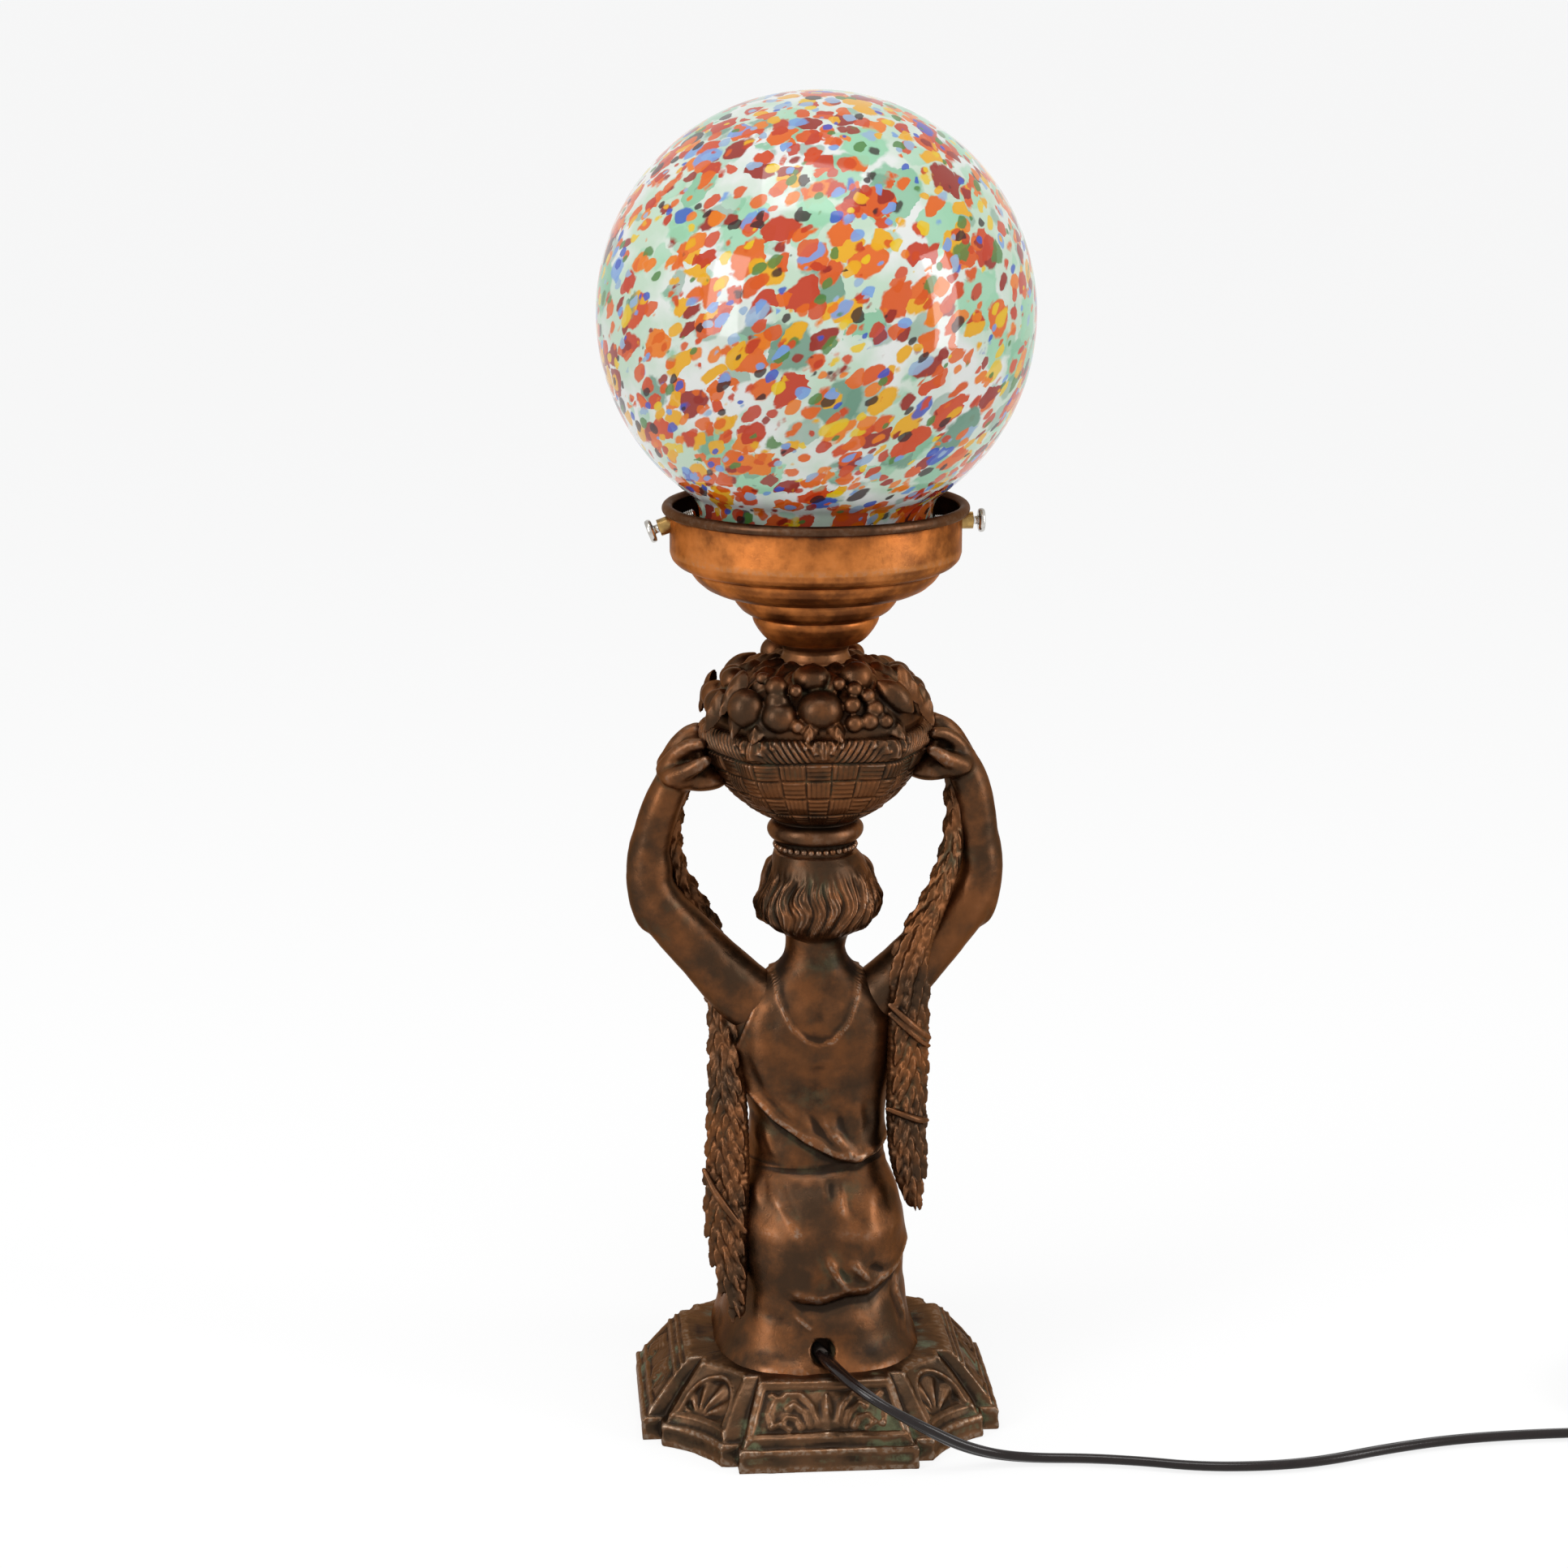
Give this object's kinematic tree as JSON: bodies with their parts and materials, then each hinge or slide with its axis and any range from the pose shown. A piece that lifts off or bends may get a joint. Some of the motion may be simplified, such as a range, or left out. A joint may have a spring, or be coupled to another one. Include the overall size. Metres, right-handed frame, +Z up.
{
  "type": "figural table lamp",
  "caption": "Table lamp: draped figure on a square base holds a fruit basket that carries a spun gallery and a spatter-glass globe, with a flat twin cord.",
  "frame": {"origin": "centre of the base's underside", "axes": "+Z up; the figure faces -Y and the cord leaves her back on +Y; her left arm is on +X"},
  "size_m": [0.4418, 0.1551, 0.4783],
  "materials": {
    "bronzed_casting": "dark brown patina, worn to copper on high places",
    "base_casting": "dark brown patina with green in the hollows",
    "copper_sheet": "coppered, satin, smudged",
    "nickel": "nickel plate",
    "brass": "plain",
    "steel": "zinc plate",
    "spatter_glass": "opal glass with spatter, gloss",
    "clear_glass": "clear",
    "porcelain": "glazed",
    "flex": "dark brown, semi-gloss",
    "plug_plastic": "dark brown, semi-gloss",
    "tie_plastic": "matt"
  },
  "bodies": {
    "lamp": {"base_casting": "base_casting", "basket": "bronzed_casting", "centre_contact": "brass", "coil_tie": "tie_plastic", "collar": "copper_sheet", "cord": "flex", "cord_coil": "flex", "figure_body": "bronzed_casting", "fruit_heap": "bronzed_casting", "gallery": "copper_sheet", "globe": "spatter_glass", "head": "bronzed_casting", "holder_cap": "brass", "holder_insert": "porcelain", "holder_shell": "brass", "inner_cord": "flex", "left_arm": "bronzed_casting", "left_garland": "bronzed_casting", "lock_nuts": "steel", "nipple": "brass", "nipple_washer": "steel", "plug_blades": "brass", "plug_body": "plug_plastic", "plug_lead": "flex", "right_arm": "bronzed_casting", "right_garland": "bronzed_casting", "screw_bosses": "brass", "screw_shell": "brass", "terminal_screws": "brass"},
    "screw_1_shank": {"screw_shank_1": "nickel"},
    "screw_1_head": {"screw_head_1": "nickel"},
    "screw_2_shank": {"screw_shank_2": "nickel"},
    "screw_2_head": {"screw_head_2": "nickel"},
    "screw_3_shank": {"screw_shank_3": "nickel"},
    "screw_3_head": {"screw_head_3": "nickel"},
    "bulb_tip": {"bulb_contact": "nickel"},
    "bulb": {"bulb_cap": "nickel", "bulb_glass": "clear_glass", "bulb_stem": "clear_glass", "filament": "steel"}
  },
  "joints": [
    {"name": "screw_1_travel", "type": "slide", "parent": "lamp", "child": "screw_1_shank", "axis": [0.9336, 0, -0.3584], "range_m": [0, 0.0084]},
    {"name": "screw_1_turn", "type": "hinge", "parent": "screw_1_shank", "child": "screw_1_head", "pos_m": [0.0512, 0, 0.3292], "axis": [0.9336, 0, -0.3584], "range_deg": [0, 4320]},
    {"name": "screw_2_travel", "type": "slide", "parent": "lamp", "child": "screw_2_shank", "axis": [-1, 0, 0], "range_m": [0, 0.0084]},
    {"name": "screw_2_turn", "type": "hinge", "parent": "screw_2_shank", "child": "screw_2_head", "pos_m": [-0.0512, 0, 0.3292], "axis": [-1, 0, 0], "range_deg": [0, 4320]},
    {"name": "screw_3_travel", "type": "slide", "parent": "lamp", "child": "screw_3_shank", "axis": [0, -1, 0], "range_m": [0, 0.0084]},
    {"name": "screw_3_turn", "type": "hinge", "parent": "screw_3_shank", "child": "screw_3_head", "pos_m": [0, -0.0512, 0.3292], "axis": [0, -1, 0], "range_deg": [0, 4320]},
    {"name": "bulb_lift", "type": "slide", "parent": "lamp", "child": "bulb_tip", "axis": [0, 0, 1], "range_m": [0, 0.0218]},
    {"name": "bulb_turn", "type": "hinge", "parent": "bulb_tip", "child": "bulb", "pos_m": [0, 0, 0.337], "axis": [0, 0, 1], "range_deg": [0, 2160]}
  ],
  "couplings": [
    {"joint": "screw_1_turn", "follows": "screw_1_travel", "rad_per_m": 8975.9},
    {"joint": "screw_2_turn", "follows": "screw_2_travel", "rad_per_m": 8975.9},
    {"joint": "screw_3_turn", "follows": "screw_3_travel", "rad_per_m": 8975.9},
    {"joint": "bulb_lift", "follows": "bulb_turn", "m_per_rad": 0.0005775}
  ]
}
